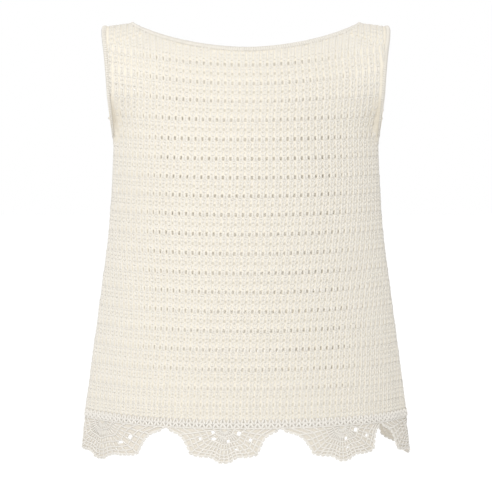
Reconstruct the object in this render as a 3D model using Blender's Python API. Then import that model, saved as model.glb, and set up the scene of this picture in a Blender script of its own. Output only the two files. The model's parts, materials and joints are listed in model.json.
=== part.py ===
"""Sleeveless knitted top, filled out as worn: boat neck, A-line body and a scalloped lace hem.

Metres, +Z up. The wearer faces -Y. The origin lies between the tops of the two shoulders,
where the wearer holds the top up.
"""

import math
from collections import namedtuple

import bmesh
import bpy
from mathutils import Vector

# Cloth
WALL = 0.0024  # thickness of the knitted wall
SEAM_GAP = 0.0003  # clear space between two joined pieces

# Cut of the body, as drops below the top of the shoulders
UNDERARM = 0.145  # lowest point of the armhole
BODY_END = 0.486  # lower edge of the knitted body
CHEST_ROUND = 0.72  # 0.5 gives an elliptical side, 1 a pointed one
ARMHOLE_DEPTH = 0.042  # half of the armhole's width from front to back
UNDERARM_SOFT = 0.07  # height over which the cloth beside the armhole eases forwards
EDGE_SHARP = 40.0  # how closely the armhole's round bottom keeps to the edge itself
BULGE_NARROW = 1.5  # above 1 keeps that easing close to the edge

# Neck and shoulders
NECK_HALF = 0.144  # middle to the neck edge, on the shoulder ridge
NECK_DROP_FRONT = 0.0349
NECK_DROP_BACK = 0.0370
NECK_BEND = 1.8  # how flat the neckline runs across the middle
NECK_TURN = 0.75  # how quickly it turns up at the shoulder
SEAM_INNER = 0.124  # the shoulder seam meets the neck edge this far from the middle
SEAM_DROP = 0.0113  # and this far below the ridge
SEAM_SLOPE = 0.346
SHOULDER_SLOPE = 0.125  # the ridge falls this much for each metre outwards
SLOPE_START = 0.14
SLOPE_FADE = 0.03

# The back hem is lifted by the fuller seat of the figure
BACK_LIFT = 0.024
LIFT_START = 0.16
LIFT_END = 0.49

# Edgings
NECK_BAND = 0.0055
ARM_BAND = 0.0046
BAND_THICK = 0.0034
BAND_SIDES = 8
BAND_SQUARE = 0.6  # below 1 the band's section is squarer than an ellipse

# Grids of the panels
SIDE_TURN = math.radians(90.0)
UPPER_ROWS = 12
LOWER_ROWS = 10
FLAP_ROWS = 4
FRONT_NECK_COLUMNS = 16
FRONT_STRAP_COLUMNS = 6
BACK_NECK_COLUMNS = 18
BACK_STRAP_COLUMNS = 5
UNDERARM_BLEND = 0.05  # the armhole's edge turns to face sideways over this height
UNDERARM_CROWD = 1.6  # rows crowd towards the round bottom of the armhole

# Sections of the body, from the shoulders down
Section = namedtuple("Section", "drop half_width front_depth back_depth")
SECTIONS = (
    Section(0.000, 0.1748, 0.000, 0.000),
    Section(0.004, 0.1758, 0.023, 0.023),
    Section(0.016, 0.1752, 0.047, 0.046),
    Section(0.036, 0.1732, 0.067, 0.065),
    Section(0.064, 0.1712, 0.080, 0.078),
    Section(0.100, 0.1696, 0.092, 0.089),
    Section(0.144, 0.1670, 0.102, 0.097),
    Section(0.200, 0.1688, 0.109, 0.099),
    Section(0.260, 0.1730, 0.112, 0.099),
    Section(0.340, 0.1832, 0.115, 0.105),
    Section(0.420, 0.1941, 0.119, 0.112),
    Section(0.487, 0.2028, 0.122, 0.116),
    Section(0.560, 0.2100, 0.124, 0.118),
)

# Soft upright flutes that open towards the hem, as angles round the body from the front
Flute = namedtuple("Flute", "angle half_angle height start")
FLUTES = (
    Flute(-66.0, 17.0, -0.0030, 0.30),
    Flute(-30.0, 20.0, 0.0022, 0.34),
    Flute(10.0, 22.0, -0.0018, 0.38),
    Flute(47.0, 18.0, 0.0026, 0.30),
    Flute(76.0, 14.0, -0.0024, 0.33),
    Flute(112.0, 18.0, 0.0030, 0.30),
    Flute(150.0, 20.0, -0.0034, 0.26),
    Flute(188.0, 22.0, 0.0030, 0.30),
    Flute(226.0, 18.0, -0.0032, 0.28),
    Flute(257.0, 15.0, 0.0026, 0.34),
)
FLUTE_FULL = 0.50  # a flute has its whole height from here down

# Lace hem: scallops as distances round the hem, counted from the front's middle. A corner is
# where a scallop is widest at its foot, and a valley is where it meets the next one. Those at
# the sides hang longer.
HEM_LEVEL = 0.515  # section at which those distances are measured
Scallop = namedtuple("Scallop", "middle corner_before valley_before corner_after valley_after length")
FRONT_SCALLOPS = (
    Scallop(-0.2098, 0.0520, 0.0780, 0.0693, 0.1077, 1.12),
    Scallop(-0.0265, 0.0427, 0.0756, 0.0408, 0.0690, 1.00),
    Scallop(0.1240, 0.0400, 0.0815, 0.0460, 0.0618, 1.02),
    Scallop(0.2680, 0.0490, 0.0822, 0.0460, 0.0660, 1.12),
)
BACK_SCALLOPS = 3
CORNER_SHARE = 0.62  # corner of an even scallop, as a share of its distance to the valley
STRIP = 0.0105  # plain strip above the scallops
FAN_CORNER = 0.0432  # drawn half width of a scallop at its corners, and at its valleys
FAN_HALF = 0.073
FAN_SPOKES = 20
FAN_EYE = 0.004  # radius of the closed eye at a fan's centre

# Outline of half a scallop as drawn: angle from straight down, and reach from the fan's centre
Reach = namedtuple("Reach", "angle reach")
OUTLINE = (
    Reach(0.0, 0.0435),
    Reach(9.0, 0.0432),
    Reach(18.0, 0.0405),
    Reach(27.0, 0.0405),
    Reach(36.0, 0.0440),
    Reach(45.0, 0.0486),
    Reach(54.0, 0.0534),
    Reach(63.0, 0.0520),
    Reach(72.0, 0.0522),
    Reach(81.0, 0.0562),
    Reach(90.0, FAN_HALF),
)

# Rings of a fan: radius where the outline reaches least, and share of any further reach
Ring = namedtuple("Ring", "radius share")
RINGS = (
    Ring(FAN_EYE, 0.00),
    Ring(0.0105, 0.15),
    Ring(0.0195, 0.30),
    Ring(0.0260, 0.45),
    Ring(0.0325, 0.65),
    Ring(0.0365, 0.84),
    Ring(0.0405, 1.00),
)

# Cut-out cells of a fan: ring number, and the spokes where each gap starts and ends
Gap = namedtuple("Gap", "ring first last")
GAPS = (
    Gap(1, 1, 3),
    Gap(1, 4, 6),
    Gap(1, 7, 9),
    Gap(1, 11, 13),
    Gap(1, 14, 16),
    Gap(1, 17, 19),
    Gap(3, 2, 3),
    Gap(3, 4, 5),
    Gap(3, 6, 7),
    Gap(3, 8, 9),
    Gap(3, 11, 12),
    Gap(3, 13, 14),
    Gap(3, 15, 16),
    Gap(3, 17, 18),
)

CREAM = (0.83, 0.79, 0.70, 1.0)
LACE_CREAM = (0.85, 0.82, 0.74, 1.0)


def smooth_between(rows, key, column, at):
    """Monotone cubic through one column of a table, at a value of its key column."""
    keys = [key(row) for row in rows]
    values = [getattr(row, column) for row in rows]
    last = len(rows) - 2
    i = min(max(sum(1 for k in keys if k <= at) - 1, 0), last)

    def slope(j):
        if j <= 0 or j >= len(rows) - 1:
            j = min(max(j, 0), len(rows) - 1)
            a, b = (0, 1) if j == 0 else (j - 1, j)
            return (values[b] - values[a]) / (keys[b] - keys[a])
        before = (values[j] - values[j - 1]) / (keys[j] - keys[j - 1])
        after = (values[j + 1] - values[j]) / (keys[j + 1] - keys[j])
        if before * after <= 0.0:
            return 0.0
        return 2.0 * before * after / (before + after)

    span = keys[i + 1] - keys[i]
    t = (at - keys[i]) / span
    rise = values[i + 1] - values[i]
    start, end = slope(i) * span, slope(i + 1) * span
    return values[i] + t * (start + t * ((3.0 * rise - 2.0 * start - end) + t * (start + end - 2.0 * rise)))


def section(column, drop):
    """A size of the body's section; the root of the drop makes the shoulder top round."""
    return smooth_between(SECTIONS, lambda row: math.sqrt(row.drop), column, math.sqrt(max(drop, 0.0)))


def ease(t):
    t = min(max(t, 0.0), 1.0)
    return t * t * (3.0 - 2.0 * t)


def armhole_depth(drop):
    """Half of the armhole's width at a drop: an ellipse from the ridge to the underarm."""
    share = min(max(drop / UNDERARM, 0.0), 1.0)
    return 2.0 * ARMHOLE_DEPTH * math.sqrt(share * (1.0 - share))


def flute(turn, drop):
    """How far the flutes push the cloth out at a turn round the body."""
    out = 0.0
    for row in FLUTES:
        away = (math.degrees(turn) - row.angle + 180.0) % 360.0 - 180.0
        if abs(away) < row.half_angle:
            crest = math.cos(0.5 * math.pi * away / row.half_angle) ** 2
            out += row.height * crest * ease((drop - row.start) / (FLUTE_FULL - row.start))
    return out


def surface(turn, drop):
    """Outer face of the cloth: turn 0 at the front's middle, 90 degrees at the wearer's left."""
    front = math.cos(turn) >= 0.0
    half = section("half_width", drop)
    depth = section("front_depth" if front else "back_depth", drop)
    edge = armhole_depth(drop)
    soft = edge * ease((UNDERARM - drop) / UNDERARM_SOFT)
    bulge = soft + (edge - soft) * abs(math.sin(turn)) ** EDGE_SHARP
    along = abs(math.cos(turn)) ** (2.0 * CHEST_ROUND)
    y = depth * along + bulge * (1.0 - along) ** BULGE_NARROW
    x = half * math.sin(turn)
    lift = BACK_LIFT * max(0.0, -math.cos(turn)) ** 2 * ease((drop - LIFT_START) / (LIFT_END - LIFT_START))
    fall = SHOULDER_SLOPE * max(0.0, abs(x) - SLOPE_START) * math.exp(-drop / SLOPE_FADE)
    push = flute(turn, drop)
    return Vector((
        x + push * math.sin(turn),
        (-y if front else y) - push * math.cos(turn),
        lift - drop - fall,
    ))


def outward(turn, drop, side=None):
    """Outward direction of the cloth; side "front" or "back" keeps to that half at the edges."""
    step = math.radians(1.0)
    near, far = turn - step, turn + step
    if side:
        middle = 0.0 if side == "front" else math.pi
        limit = SIDE_TURN * 0.99999
        back_off = math.radians(6.0)
        if turn - middle > limit - step:
            near, far = middle + limit - back_off, middle + limit
        elif turn - middle < step - limit:
            near, far = middle - limit, middle - limit + back_off
    root = math.sqrt(max(drop, 0.0))
    small = 0.004
    across = surface(far, drop) - surface(near, drop)
    down = surface(turn, (root + small) ** 2) - surface(turn, max(root - small, 0.0) ** 2)
    out = down.cross(across).normalized()
    centre = Vector((0.0, 0.0, -0.12))
    if out.dot(surface(turn, drop) - centre) < 0.0:
        out = -out
    if side:
        sideways = Vector((math.copysign(1.0, math.sin(turn)), 0.0, 0.0))
        clear = ease((UNDERARM - drop) / UNDERARM_BLEND)
        out = (out * clear + sideways * (1.0 - clear)).normalized()
    return out


def neck_drop(x, deepest):
    """Drop of the neck edge at a distance from the middle."""
    share = min(abs(x) / NECK_HALF, 1.0)
    return deepest * (1.0 - share ** NECK_BEND) ** NECK_TURN


def seam_drop(x):
    """Drop of the shoulder seam, on the front."""
    return SEAM_DROP + (abs(x) - SEAM_INNER) * SEAM_SLOPE


def settle(sine, rule):
    """Drop at which a column of the grid meets a line given as a drop for each distance."""
    drop = SEAM_DROP
    for _ in range(30):
        drop = 0.5 * (drop + rule(sine * section("half_width", drop)))
    return drop


def spread(start, end, count):
    """Evenly spaced values, both ends included."""
    return [start + (end - start) * i / count for i in range(count + 1)]


class Cloth:
    """Collects points and faces of a piece of cloth and closes them into a wall."""

    def __init__(self, name, colour):
        self.name = name
        self.colour = colour
        self.outer = []
        self.inner = []
        self.faces = []

    def point(self, place, out):
        self.outer.append(place)
        self.inner.append(place - out * WALL)
        return len(self.outer) - 1

    def grid(self, rows):
        for upper, lower in zip(rows, rows[1:]):
            for a, b, c, d in zip(upper, lower, lower[1:], upper[1:]):
                corners = []
                for index in (a, b, c, d):
                    if index not in corners:
                        corners.append(index)
                if len(corners) > 2:
                    self.faces.append(corners)

    def close(self, collection):
        """Outer face, inner face, and a rim along every open edge."""
        shift = len(self.outer)
        edges = {(a, b) for face in self.faces for a, b in zip(face, face[1:] + face[:1])}
        mesh = bmesh.new()
        points = [mesh.verts.new(place) for place in self.outer + self.inner]
        for face in self.faces:
            mesh.faces.new([points[i] for i in face])
            mesh.faces.new([points[i + shift] for i in reversed(face)])
        for a, b in sorted(edges):
            if (b, a) not in edges:
                mesh.faces.new([points[i] for i in (b, a, a + shift, b + shift)])
        bmesh.ops.recalc_face_normals(mesh, faces=mesh.faces)
        return finish(self.name, mesh, self.colour, collection)


def finish(name, mesh, colour, collection):
    """Turns a bmesh into a named object with a material of its own."""
    data = bpy.data.meshes.new(name)
    mesh.to_mesh(data)
    mesh.free()
    material = bpy.data.materials.new(name)
    material.use_nodes = True
    shader = material.node_tree.nodes["Principled BSDF"]
    shader.inputs["Base Color"].default_value = colour
    shader.inputs["Roughness"].default_value = 0.9
    shader.inputs["Metallic"].default_value = 0.0
    data.materials.append(material)
    data.shade_smooth()
    data.set_sharp_from_angle(angle=math.radians(40.0))
    piece = bpy.data.objects.new(name, data)
    collection.objects.link(piece)
    return piece


def panel_turns(neck_turn, neck_columns, strap_columns):
    """Turns of a panel's columns, closer together across the straps."""
    strap = spread(neck_turn, SIDE_TURN, strap_columns)
    middle = spread(-neck_turn, neck_turn, neck_columns)
    return [-turn for turn in reversed(strap[1:])] + middle + strap[1:]


def panel_levels(top, share):
    """Drops down one column: upper rows fitted under the top edge, lower rows level."""
    upper = [UNDERARM - (UNDERARM - top) * share(1.0 - i / UPPER_ROWS) for i in range(UPPER_ROWS)]
    return upper + spread(UNDERARM, BODY_END, LOWER_ROWS)


def side_column(cloth, turn, drop, side):
    """A point on a panel's side edge: half a gap from the other panel below the underarm."""
    place = surface(turn, drop)
    out = outward(turn, drop, side)
    if drop >= UNDERARM - 1e-6:
        out.y = 0.0
        out.normalize()
        place.y = -0.5 * SEAM_GAP if side == "front" else 0.5 * SEAM_GAP
    return cloth.point(place, out)


def crowd(t):
    return t ** UNDERARM_CROWD


def swing(t):
    return 0.5 - 0.5 * math.cos(math.pi * t)


def front_layout():
    """Turns and drops of the front panel's grid."""
    neck_turn = math.asin(SEAM_INNER / section("half_width", SEAM_DROP))
    turns = panel_turns(neck_turn, FRONT_NECK_COLUMNS, FRONT_STRAP_COLUMNS)
    levels = []
    for turn in turns:
        if abs(turn) <= neck_turn + 1e-6:
            top = settle(math.sin(turn), lambda x: neck_drop(x, NECK_DROP_FRONT))
        else:
            top = settle(math.sin(turn), seam_drop) + 0.5 * SEAM_GAP
        levels.append(panel_levels(top, crowd))
    return neck_turn, turns, levels


def back_layout():
    """Turns, counted from the back's middle, and drops of the back panel's grid."""
    neck_turn = math.asin(NECK_HALF / section("half_width", 0.0))
    turns = panel_turns(neck_turn, BACK_NECK_COLUMNS, BACK_STRAP_COLUMNS)
    levels = []
    for turn in turns:
        inside = abs(turn) < neck_turn - 1e-6
        top = settle(math.sin(turn), lambda x: neck_drop(x, NECK_DROP_BACK)) if inside else 0.0
        levels.append(panel_levels(top, swing))
    return neck_turn, turns, levels


def make_front(collection):
    cloth = Cloth("front_panel", CREAM)
    _, turns, levels = front_layout()
    columns = []
    for turn, drops in zip(turns, levels):
        if abs(turn) > SIDE_TURN - 1e-6:
            columns.append([side_column(cloth, turn * 0.999999, drop, "front") for drop in drops])
        else:
            columns.append([cloth.point(surface(turn, drop), outward(turn, drop)) for drop in drops])
    cloth.grid(columns)
    return cloth.close(collection)


def flap_point(side, across, down, gap=0.0):
    """A point of the back panel's strap in front of the ridge; across runs neck to armhole."""
    seam_outer = settle(1.0, seam_drop)
    neck_level = down * down * SEAM_DROP
    arm_level = down * down * seam_outer
    share = min(neck_level / NECK_DROP_FRONT, 1.0)
    neck_x = NECK_HALF * (1.0 - share ** (1.0 / NECK_TURN)) ** (1.0 / NECK_BEND)
    arm_x = section("half_width", arm_level)
    x = neck_x + (arm_x - neck_x) * across
    drop = neck_level + (arm_level - neck_level) * (x - neck_x) / (arm_x - neck_x) - gap
    sine = min(x / section("half_width", drop), 1.0)
    turn = side * min(math.asin(sine), SIDE_TURN * 0.999999)
    return surface(turn, drop), outward(turn, drop, "front")


def ridge_out(place, out):
    """On the ridge the cloth faces straight up and out, neither forwards nor back."""
    out.y = 0.0
    place.y = 0.0
    return place, out.normalized()


def make_back(collection):
    cloth = Cloth("back_panel", CREAM)
    neck_turn, turns, levels = back_layout()
    columns = []
    for turn, drops in zip(turns, levels):
        column = []
        for drop in drops:
            around = math.pi + turn
            if drop < 1e-9:
                column.append(cloth.point(*ridge_out(surface(around, 0.0), outward(around, 0.0, "back"))))
            elif abs(turn) > SIDE_TURN - 1e-6:
                column.append(side_column(cloth, math.pi + turn * 0.999999, drop, "back"))
            else:
                column.append(cloth.point(surface(around, drop), outward(around, drop)))
        columns.append(column)
    cloth.grid(columns)
    for side, strap in ((1.0, columns[:BACK_STRAP_COLUMNS + 1]), (-1.0, columns[-BACK_STRAP_COLUMNS - 1:])):
        flap = []
        for column in strap:
            reach = abs(cloth.outer[column[0]].x)
            across = (reach - NECK_HALF) / (section("half_width", 0.0) - NECK_HALF)
            points = []
            for j in range(FLAP_ROWS, 0, -1):
                gap = 0.5 * SEAM_GAP if j == FLAP_ROWS else 0.0
                points.append(cloth.point(*flap_point(side, across, j / FLAP_ROWS, gap)))
            flap.append(points + [column[0]])
        cloth.grid(flap)
    return cloth.close(collection)


def band(name, path, width, collection):
    """A closed edging: a rounded band swept along an edge, beyond it by the seam's gap."""
    mesh = bmesh.new()
    count = len(path)
    rings = []
    for i, (place, out) in enumerate(path):
        along = (path[(i + 1) % count][0] - path[i - 1][0]).normalized()
        away = out.cross(along).normalized()
        up = along.cross(away).normalized()
        centre = place + away * (SEAM_GAP + 0.5 * width) - out * (0.5 * WALL)
        ring = []
        for j in range(BAND_SIDES):
            angle = 2.0 * math.pi * (j + 0.5) / BAND_SIDES
            c, s = math.cos(angle), math.sin(angle)
            across = math.copysign(abs(c) ** BAND_SQUARE, c) * 0.5 * width
            high = math.copysign(abs(s) ** BAND_SQUARE, s) * 0.5 * BAND_THICK
            ring.append(mesh.verts.new(centre + away * across + up * high))
        rings.append(ring)
    for i in range(count):
        here, there = rings[i], rings[(i + 1) % count]
        for j in range(BAND_SIDES):
            k = (j + 1) % BAND_SIDES
            mesh.faces.new((here[j], here[k], there[k], there[j]))
    bmesh.ops.recalc_face_normals(mesh, faces=mesh.faces)
    return finish(name, mesh, CREAM, collection)


def armhole_path(side):
    """Points round an armhole: down the front edge, under the arm, up the back, over the strap."""
    _, _, front_levels = front_layout()
    _, _, back_levels = back_layout()
    turn = side * SIDE_TURN * 0.999999
    path = []
    for drop in front_levels[0][:UPPER_ROWS]:
        path.append((surface(turn, drop), outward(turn, drop, "front")))
    low = surface(turn, UNDERARM)
    low.y = 0.0
    path.append((low, Vector((side, 0.0, 0.0))))
    around = math.pi - turn
    for drop in reversed(back_levels[0][1:UPPER_ROWS]):
        path.append((surface(around, drop), outward(around, drop, "back")))
    path.append(ridge_out(surface(around, 0.0), outward(around, 0.0, "back")))
    for j in range(1, FLAP_ROWS):
        path.append(flap_point(side, 1.0, j / FLAP_ROWS))
    return path if side > 0.0 else path[::-1]


def neck_path():
    """Points round the neck, once round from the right end of the front's neck edge."""
    neck_turn, turns, levels = front_layout()
    path = []
    for turn, drops in zip(turns, levels):
        if abs(turn) <= neck_turn + 1e-6:
            path.append((surface(turn, drops[0]), outward(turn, drops[0])))
    for j in range(FLAP_ROWS - 1, 0, -1):
        path.append(flap_point(1.0, 0.0, j / FLAP_ROWS))
    back_turn, turns, levels = back_layout()
    for turn, drops in zip(turns, levels):
        around = math.pi + turn
        if abs(abs(turn) - back_turn) <= 1e-6:
            path.append(ridge_out(surface(around, 0.0), outward(around, 0.0)))
        elif abs(turn) < back_turn:
            path.append((surface(around, drops[0]), outward(around, drops[0])))
    for j in range(1, FLAP_ROWS):
        path.append(flap_point(-1.0, 0.0, j / FLAP_ROWS))
    return path


def hem_turns():
    """Distance round the hem for each small turn, from the front's middle both ways."""
    steps = 720
    table = [(0.0, 0.0)]
    before = surface(0.0, HEM_LEVEL)
    length = 0.0
    for i in range(1, steps + 1):
        turn = 2.0 * math.pi * i / steps
        here = surface(turn, HEM_LEVEL)
        length += ((here - before).xy).length
        before = here
        table.append((length, turn))
    return table


def turn_at(distance, table):
    """Turn round the body at a distance round the hem."""
    whole = table[-1][0]
    laps = math.floor(distance / whole)
    distance -= laps * whole
    low, high = 0, len(table) - 1
    while high - low > 1:
        middle = (low + high) // 2
        if table[middle][0] <= distance:
            low = middle
        else:
            high = middle
    share = (distance - table[low][0]) / (table[high][0] - table[low][0])
    return table[low][1] + share * (table[high][1] - table[low][1]) + laps * 2.0 * math.pi


def fan_radii(angle):
    """Radii of a fan's rings at an angle from straight down."""
    reach = smooth_between(OUTLINE, lambda row: row.angle, "reach", abs(math.degrees(angle)))
    least = RINGS[-1].radius
    return [ring.radius + (reach - least) * ring.share for ring in RINGS]


def reach_along(scallop, across):
    """Distance round the hem of a point drawn at a distance from a scallop's middle."""
    corner, valley = scallop.corner_after, scallop.valley_after
    if across < 0.0:
        corner, valley = scallop.corner_before, scallop.valley_before
    away = min(abs(across), FAN_HALF)
    if away <= FAN_CORNER:
        reach = corner * away / FAN_CORNER
    else:
        reach = corner + (valley - corner) * (away - FAN_CORNER) / (FAN_HALF - FAN_CORNER)
    return scallop.middle + math.copysign(reach, across)


def make_lace(name, scallops, table, collection):
    """A run of scallops: a plain strip, and under each stretch of it an open fan."""
    cloth = Cloth(name, LACE_CREAM)
    top = BODY_END + SEAM_GAP
    first = scallops[0].middle - scallops[0].valley_before + 0.5 * SEAM_GAP
    last = scallops[-1].middle + scallops[-1].valley_after - 0.5 * SEAM_GAP
    known = {}

    def lace_point(distance, down):
        distance = round(min(max(distance, first), last), 5)
        key = (distance, round(down, 6))
        if key not in known:
            turn = turn_at(distance, table)
            known[key] = cloth.point(surface(turn, top + down), outward(turn, top + down))
        return known[key]

    stations = set()
    for scallop in scallops:
        for radius in [0.0] + fan_radii(SIDE_TURN):
            for across in (-radius, radius):
                distance = reach_along(scallop, across)
                stations.add(round(min(max(distance, first), last), 5))
        add_fan(cloth, lace_point, scallop)
    stations = sorted(stations)
    cloth.grid([[lace_point(s, down) for s in stations] for down in (0.0, 0.5 * STRIP, STRIP)])
    return cloth.close(collection)


def add_fan(cloth, lace_point, scallop):
    """An open fan of spokes and rings hanging from the strip."""
    angles = spread(-SIDE_TURN, SIDE_TURN, FAN_SPOKES)
    missing = {(gap.ring, spoke) for gap in GAPS for spoke in range(gap.first, gap.last)}
    spokes = []
    for angle in angles:
        column = []
        for radius in fan_radii(angle):
            down = radius * math.cos(angle) * scallop.length if abs(angle) < SIDE_TURN - 1e-6 else 0.0
            column.append(lace_point(reach_along(scallop, radius * math.sin(angle)), STRIP + down))
        spokes.append(column)
    centre = lace_point(scallop.middle, STRIP)
    for spoke, (here, there) in enumerate(zip(spokes, spokes[1:])):
        cloth.faces.append([centre, here[0], there[0]])
        for ring, (a, b, c, d) in enumerate(zip(here, here[1:], there[1:], there)):
            if (ring, spoke) not in missing:
                cloth.faces.append([a, b, c, d])


def even_scallops(start, end, count):
    """Evenly spread scallops between two valleys."""
    half = 0.5 * (end - start) / count
    corner = half * CORNER_SHARE
    middles = [start + half * (2 * i + 1) for i in range(count)]
    return [Scallop(middle, corner, half, corner, half, 1.0) for middle in middles]


def clear_scene():
    for thing in list(bpy.data.objects):
        bpy.data.objects.remove(thing, do_unlink=True)


def main():
    clear_scene()
    top = bpy.data.collections.new("sleeveless_knit_top")
    bpy.context.scene.collection.children.link(top)
    make_front(top)
    make_back(top)
    band("neck_edging", neck_path(), NECK_BAND, top)
    band("armhole_edging_left", armhole_path(1.0), ARM_BAND, top)
    band("armhole_edging_right", armhole_path(-1.0), ARM_BAND, top)
    table = hem_turns()
    whole = table[-1][0]
    make_lace("hem_lace_front", FRONT_SCALLOPS, table, top)
    start = FRONT_SCALLOPS[-1].middle + FRONT_SCALLOPS[-1].valley_after
    end = whole + FRONT_SCALLOPS[0].middle - FRONT_SCALLOPS[0].valley_before
    make_lace("hem_lace_back", even_scallops(start, end, BACK_SCALLOPS), table, top)


main()
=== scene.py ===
"""Looks of the sleeveless knitted top: yarn stitches, edgings and lace on thin backing cloth."""

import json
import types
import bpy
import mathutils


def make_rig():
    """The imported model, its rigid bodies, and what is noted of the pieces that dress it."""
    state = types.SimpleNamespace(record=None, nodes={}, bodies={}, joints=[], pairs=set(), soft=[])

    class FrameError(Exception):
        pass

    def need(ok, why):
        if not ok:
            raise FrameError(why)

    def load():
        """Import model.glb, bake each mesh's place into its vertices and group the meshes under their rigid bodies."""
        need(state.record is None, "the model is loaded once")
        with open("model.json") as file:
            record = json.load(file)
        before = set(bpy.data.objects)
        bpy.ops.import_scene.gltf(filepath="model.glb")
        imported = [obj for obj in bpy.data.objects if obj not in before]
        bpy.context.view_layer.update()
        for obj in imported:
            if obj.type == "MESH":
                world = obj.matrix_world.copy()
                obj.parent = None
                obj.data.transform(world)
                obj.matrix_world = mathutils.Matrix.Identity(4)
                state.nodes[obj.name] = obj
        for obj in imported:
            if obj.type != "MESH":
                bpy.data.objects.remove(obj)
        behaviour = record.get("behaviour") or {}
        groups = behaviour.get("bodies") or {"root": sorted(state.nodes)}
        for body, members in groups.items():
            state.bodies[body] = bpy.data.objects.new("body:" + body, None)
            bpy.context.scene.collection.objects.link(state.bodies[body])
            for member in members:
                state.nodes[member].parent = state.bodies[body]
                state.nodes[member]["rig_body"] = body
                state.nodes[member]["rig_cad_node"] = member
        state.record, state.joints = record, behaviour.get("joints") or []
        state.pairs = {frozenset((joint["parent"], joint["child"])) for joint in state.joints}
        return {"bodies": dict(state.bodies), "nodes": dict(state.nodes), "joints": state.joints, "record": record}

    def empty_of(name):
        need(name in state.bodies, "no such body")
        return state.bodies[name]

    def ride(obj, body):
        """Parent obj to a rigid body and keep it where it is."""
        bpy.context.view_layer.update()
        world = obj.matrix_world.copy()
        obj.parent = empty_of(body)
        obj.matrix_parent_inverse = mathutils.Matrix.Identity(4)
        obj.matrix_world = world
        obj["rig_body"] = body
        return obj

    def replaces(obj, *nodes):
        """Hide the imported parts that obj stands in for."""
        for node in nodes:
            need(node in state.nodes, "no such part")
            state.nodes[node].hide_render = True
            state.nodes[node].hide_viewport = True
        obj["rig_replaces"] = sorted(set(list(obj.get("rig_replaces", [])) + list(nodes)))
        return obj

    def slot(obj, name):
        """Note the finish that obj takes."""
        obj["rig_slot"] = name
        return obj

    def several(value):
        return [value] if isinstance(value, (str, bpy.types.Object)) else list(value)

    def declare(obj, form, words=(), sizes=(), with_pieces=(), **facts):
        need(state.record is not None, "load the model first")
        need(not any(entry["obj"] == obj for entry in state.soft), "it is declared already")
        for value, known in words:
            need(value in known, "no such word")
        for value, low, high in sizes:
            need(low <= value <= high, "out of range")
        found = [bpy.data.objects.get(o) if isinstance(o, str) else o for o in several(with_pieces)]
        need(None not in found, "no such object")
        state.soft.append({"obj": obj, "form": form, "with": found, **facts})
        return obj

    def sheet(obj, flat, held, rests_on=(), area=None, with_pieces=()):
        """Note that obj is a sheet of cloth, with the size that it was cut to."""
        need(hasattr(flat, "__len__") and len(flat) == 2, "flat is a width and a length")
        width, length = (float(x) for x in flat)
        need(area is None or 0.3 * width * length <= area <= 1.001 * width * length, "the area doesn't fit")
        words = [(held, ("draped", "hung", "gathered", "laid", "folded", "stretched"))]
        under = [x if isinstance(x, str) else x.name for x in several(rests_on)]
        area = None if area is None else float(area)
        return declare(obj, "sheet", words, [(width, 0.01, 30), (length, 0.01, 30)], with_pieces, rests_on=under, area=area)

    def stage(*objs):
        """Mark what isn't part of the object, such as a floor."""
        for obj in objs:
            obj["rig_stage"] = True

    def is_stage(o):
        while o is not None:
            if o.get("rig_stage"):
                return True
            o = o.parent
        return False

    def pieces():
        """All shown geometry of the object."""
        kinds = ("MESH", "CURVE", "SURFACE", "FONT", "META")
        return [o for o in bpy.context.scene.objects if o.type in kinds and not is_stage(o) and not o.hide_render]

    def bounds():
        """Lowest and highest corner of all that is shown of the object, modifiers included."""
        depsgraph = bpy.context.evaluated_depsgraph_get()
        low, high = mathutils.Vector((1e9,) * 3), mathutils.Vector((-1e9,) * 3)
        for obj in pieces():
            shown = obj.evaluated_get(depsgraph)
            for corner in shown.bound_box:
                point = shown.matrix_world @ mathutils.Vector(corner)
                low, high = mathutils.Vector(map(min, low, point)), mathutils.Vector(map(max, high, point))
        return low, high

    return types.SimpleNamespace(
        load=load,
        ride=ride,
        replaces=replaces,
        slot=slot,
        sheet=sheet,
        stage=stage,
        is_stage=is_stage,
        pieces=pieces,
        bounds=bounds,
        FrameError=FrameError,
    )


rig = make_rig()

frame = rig.load()
CAD_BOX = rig.bounds()

import json
import math
from collections import namedtuple

import bmesh
import bpy
import numpy as np
from mathutils import Vector

SIDE_TURN = math.radians(90.0)
EDGE_INSIDE = 0.99999  # share of that turn that keeps a point on its own panel's side of an edge
EDGE_TURN = SIDE_TURN * EDGE_INSIDE
SHEET_TURN = SIDE_TURN * 0.9999  # the same for the backing cloth
FRONT, BACK = 0.0, math.pi  # turn of the middle of each panel


def table(columns, rows):
    """Rows whose values have names."""
    return [namedtuple("Row", columns)(*row) for row in rows]


# ---- form, as in the part's source
WALL = 0.0024
SEAM_GAP = 0.0003
UNDERARM = 0.145
BODY_END = 0.486
CHEST_ROUND = 0.72
ARMHOLE_DEPTH = 0.042
UNDERARM_SOFT = 0.07
EDGE_SHARP = 40.0
BULGE_NARROW = 1.5
NECK_HALF = 0.144
NECK_DROP = {FRONT: 0.0349, BACK: 0.0370}
NECK_BEND = 1.8
NECK_TURN = 0.75
SEAM_INNER = 0.124
SEAM_DROP = 0.0113
SEAM_SLOPE = 0.346
SHOULDER_SLOPE = 0.125
SLOPE_START = 0.14
SLOPE_FADE = 0.03
BACK_LIFT = 0.024
LIFT_START = 0.16
LIFT_END = 0.49

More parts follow.
